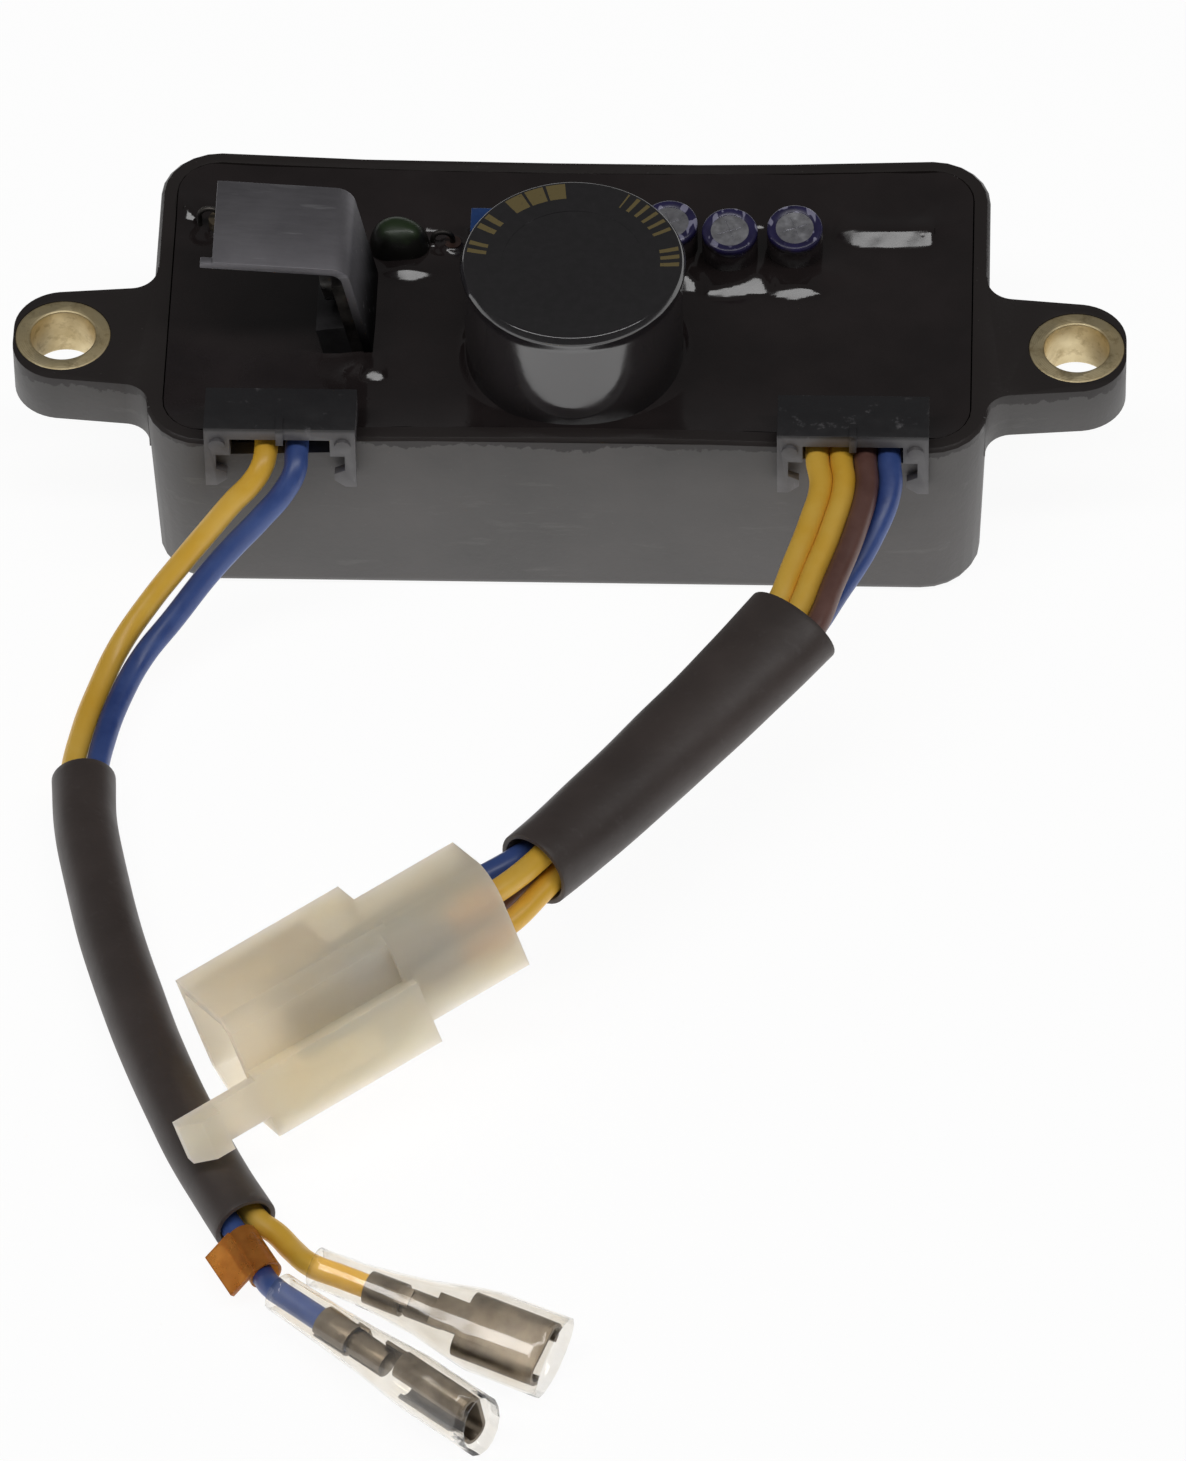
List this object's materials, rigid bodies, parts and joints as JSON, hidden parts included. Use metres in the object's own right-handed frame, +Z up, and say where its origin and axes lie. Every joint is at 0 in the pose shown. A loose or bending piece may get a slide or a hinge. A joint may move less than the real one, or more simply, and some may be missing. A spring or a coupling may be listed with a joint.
{
  "type": "automatic voltage regulator",
  "caption": "Potted generator voltage regulator: eared black case filled with resin round its electronics, a sleeved harness to a white tab connector and another to covered tab terminals.",
  "frame": {"origin": "centre of the flat base of the case", "axes": "+X runs from one ear to the other, +Y points away from the wires, +Z points up out of the resin face"},
  "size_m": [0.123, 0.1706, 0.0369],
  "materials": {
    "case_plastic": "black moulded plastic",
    "bush_brass": "turned brass",
    "resin": "cast black resin",
    "board": "glass-fibre board",
    "sheet_aluminium": "sheared and bent sheet",
    "black_mould": "moulded epoxy",
    "tinned_metal": "tinned strip and wire",
    "screw_steel": "zinc plated",
    "can_aluminium": "drawn can",
    "black_sleeve": "shrunk sleeve",
    "violet_sleeve": "shrunk sleeve",
    "green_dip": "dipped lacquer",
    "brown_body": "moulded body",
    "resistor_body": "lacquered body",
    "trimmer_blue": "moulded box",
    "entry_plastic": "moulded clip",
    "wire_yellow": "extruded insulation",
    "wire_blue": "extruded insulation",
    "wire_brown": "extruded insulation",
    "sleeve_rubber": "extruded vinyl sleeve",
    "amber_tape": "film tape",
    "clear_vinyl": "clear soft cover",
    "natural_nylon": "uncoloured moulded nylon"
  },
  "bodies": {
    "regulator": {"case": "case_plastic", "ear_bush_left": "bush_brass", "ear_bush_right": "bush_brass", "potting_resin": "resin", "circuit_board": "board", "heat_sink": "sheet_aluminium", "transistor_body": "black_mould", "transistor_frame": "tinned_metal", "transistor_screw": "screw_steel", "main_capacitor_can": "can_aluminium", "main_capacitor_sleeve": "black_sleeve", "main_capacitor_disc": "black_sleeve", "main_capacitor_pins": "tinned_metal", "small_capacitor_can_1": "can_aluminium", "small_capacitor_can_2": "can_aluminium", "small_capacitor_can_3": "can_aluminium", "small_capacitor_sleeve_1": "violet_sleeve", "small_capacitor_sleeve_2": "violet_sleeve", "small_capacitor_sleeve_3": "violet_sleeve", "small_capacitor_leads": "tinned_metal", "film_capacitor": "green_dip", "film_capacitor_leads": "tinned_metal", "standing_diode": "brown_body", "standing_resistor": "resistor_body", "standing_leads": "tinned_metal", "bridge_rectifier": "black_mould", "bridge_leads": "tinned_metal", "trimmer_body": "trimmer_blue", "trimmer_pins": "tinned_metal", "wire_entry_left": "entry_plastic", "wire_entry_right": "entry_plastic", "wire_tails_left": "tinned_metal", "wire_tails_right": "tinned_metal", "left_wire_yellow": "wire_yellow", "left_wire_blue": "wire_blue", "left_sleeve": "sleeve_rubber", "right_wire_yellow_outer": "wire_yellow", "right_wire_yellow_inner": "wire_yellow", "right_wire_brown": "wire_brown", "right_wire_blue": "wire_blue", "right_sleeve": "sleeve_rubber", "tape_flag": "amber_tape", "tab_receptacle_yellow": "tinned_metal", "tab_receptacle_blue": "tinned_metal", "clear_cover_yellow": "clear_vinyl", "clear_cover_blue": "clear_vinyl", "connector_housing": "natural_nylon", "connector_tabs": "tinned_metal"},
    "trimmer_screw": {"trimmer_screw": "bush_brass"}
  },
  "joints": [
    {"name": "trimmer_turn", "type": "hinge", "parent": "regulator", "child": "trimmer_screw", "pos_m": [-0.0035, 0.0092, 0.0245], "axis": [0, 0, 1], "continuous": true}
  ]
}
